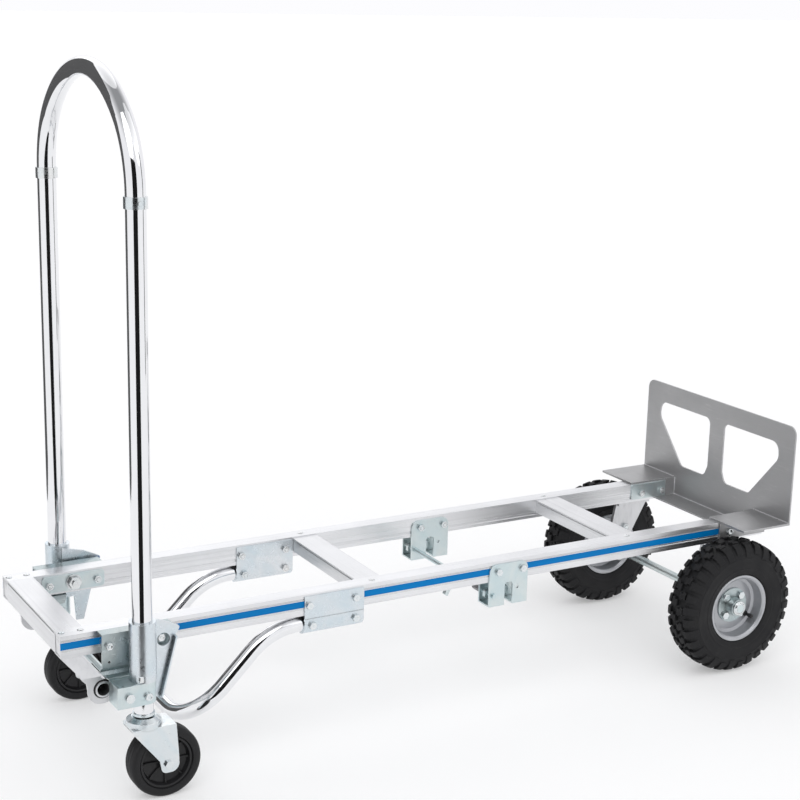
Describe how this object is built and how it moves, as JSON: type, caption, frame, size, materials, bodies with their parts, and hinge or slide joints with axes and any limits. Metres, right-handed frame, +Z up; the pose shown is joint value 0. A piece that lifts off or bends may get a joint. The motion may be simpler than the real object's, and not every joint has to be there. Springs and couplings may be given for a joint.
{
  "type": "convertible hand truck",
  "caption": "Convertible hand truck in platform form: twin rail frame, folding sliding loop handle, swivel casters, pneumatic wheels, open nose plate and a sprung handle latch.",
  "frame": {"origin": "under the middle of the truck, on the surface that its wheels stand on", "axes": "+X from the handle end to the nose plate, +Y to the left side, +Z up"},
  "size_m": [1.4464, 0.495, 1.163],
  "materials": {
    "rail_aluminium": "extruded, satin",
    "plate_aluminium": "pressed, satin",
    "nose_metal": "satin grey",
    "zinc_steel": "zinc plated",
    "bolt_steel": "zinc plated, bright",
    "tube_chrome": "polished",
    "stripe_blue": "adhesive film",
    "black_plastic": "matt",
    "tyre_rubber": "moulded",
    "caster_rubber": "moulded",
    "rim_paint": "silver grey",
    "spring_steel": "oiled"
  },
  "bodies": {
    "frame": {"side_rail_left": "rail_aluminium", "side_rail_right": "rail_aluminium", "end_crossbar": "rail_aluminium", "middle_crossbar": "rail_aluminium", "axle_crossbar": "rail_aluminium", "grip_tube": "rail_aluminium", "grip_plates": "plate_aluminium", "axle_brackets": "plate_aluminium", "nose_plate": "nose_metal", "pivot_bracket_left": "zinc_steel", "pivot_bracket_right": "zinc_steel", "pivot_backing_plates": "zinc_steel", "pivot_bracket_spacers": "zinc_steel", "tube_clamps_inner": "zinc_steel", "tube_clamps_outer": "zinc_steel", "latch_brackets": "zinc_steel", "nose_brackets": "zinc_steel", "axle": "zinc_steel", "axle_spacers": "zinc_steel", "axle_end_caps": "zinc_steel", "frame_bolts": "bolt_steel", "frame_nuts": "bolt_steel", "crossbar_rivets": "bolt_steel", "skid_tube": "tube_chrome", "rail_stripes": "stripe_blue", "grip_tube_rings": "black_plastic", "latch_spring": "spring_steel"},
    "handle": {"handle_loop": "tube_chrome", "stop_collars": "tube_chrome", "caster_brackets": "zinc_steel", "caster_cross_rod": "zinc_steel", "caster_bracket_bolts": "bolt_steel", "caster_stems": "zinc_steel"},
    "sleeves": {"pivot_sleeve_left": "zinc_steel", "pivot_sleeve_right": "zinc_steel", "pivot_studs": "bolt_steel", "pivot_nuts": "bolt_steel"},
    "latch": {"latch_rod": "zinc_steel", "latch_pawls": "zinc_steel", "latch_lever": "zinc_steel"},
    "road_wheel_left": {"tyre_left": "tyre_rubber", "wheel_rim_left": "rim_paint", "wheel_hub_left": "zinc_steel", "wheel_bearings_left": "bolt_steel", "hub_bolts_left": "bolt_steel", "valve_stem_left": "black_plastic"},
    "caster_swivel_left": {"caster_fork_left": "zinc_steel", "caster_axle_left": "bolt_steel"},
    "caster_wheel_left": {"caster_tyre_left": "caster_rubber", "caster_hub_left": "black_plastic"},
    "road_wheel_right": {"tyre_right": "tyre_rubber", "wheel_rim_right": "rim_paint", "wheel_hub_right": "zinc_steel", "wheel_bearings_right": "bolt_steel", "hub_bolts_right": "bolt_steel", "valve_stem_right": "black_plastic"},
    "caster_swivel_right": {"caster_fork_right": "zinc_steel", "caster_axle_right": "bolt_steel"},
    "caster_wheel_right": {"caster_tyre_right": "caster_rubber", "caster_hub_right": "black_plastic"}
  },
  "joints": [
    {"name": "handle_fold", "type": "hinge", "parent": "frame", "child": "sleeves", "pos_m": [-0.60725, 0, 0.257], "axis": [0, -1, 0], "range_deg": [0, 90]},
    {"name": "handle_slide", "type": "slide", "parent": "sleeves", "child": "handle", "axis": [0, 0, -1], "range_m": [0, 0.648]},
    {"name": "latch_release", "type": "hinge", "parent": "frame", "child": "latch", "pos_m": [0.08175, 0, 0.212], "axis": [0, 1, 0], "range_deg": [0, 20], "stiffness_Nm_per_rad": 0.6, "springref_deg": -28.65},
    {"name": "road_wheel_left_roll", "type": "hinge", "parent": "frame", "child": "road_wheel_left", "pos_m": [0.59275, 0.211, 0.1305], "axis": [0, 1, 0], "continuous": true},
    {"name": "caster_left_swivel", "type": "hinge", "parent": "handle", "child": "caster_swivel_left", "pos_m": [-0.60725, 0.21, 0.124], "axis": [0, 0, 1], "continuous": true},
    {"name": "caster_left_roll", "type": "hinge", "parent": "caster_swivel_left", "child": "caster_wheel_left", "pos_m": [-0.57525, 0.21, 0.06], "axis": [0, 1, 0], "continuous": true},
    {"name": "road_wheel_right_roll", "type": "hinge", "parent": "frame", "child": "road_wheel_right", "pos_m": [0.59275, -0.211, 0.1305], "axis": [0, 1, 0], "continuous": true},
    {"name": "caster_right_swivel", "type": "hinge", "parent": "handle", "child": "caster_swivel_right", "pos_m": [-0.60725, -0.21, 0.124], "axis": [0, 0, 1], "continuous": true},
    {"name": "caster_right_roll", "type": "hinge", "parent": "caster_swivel_right", "child": "caster_wheel_right", "pos_m": [-0.57525, -0.21, 0.06], "axis": [0, 1, 0], "continuous": true}
  ]
}
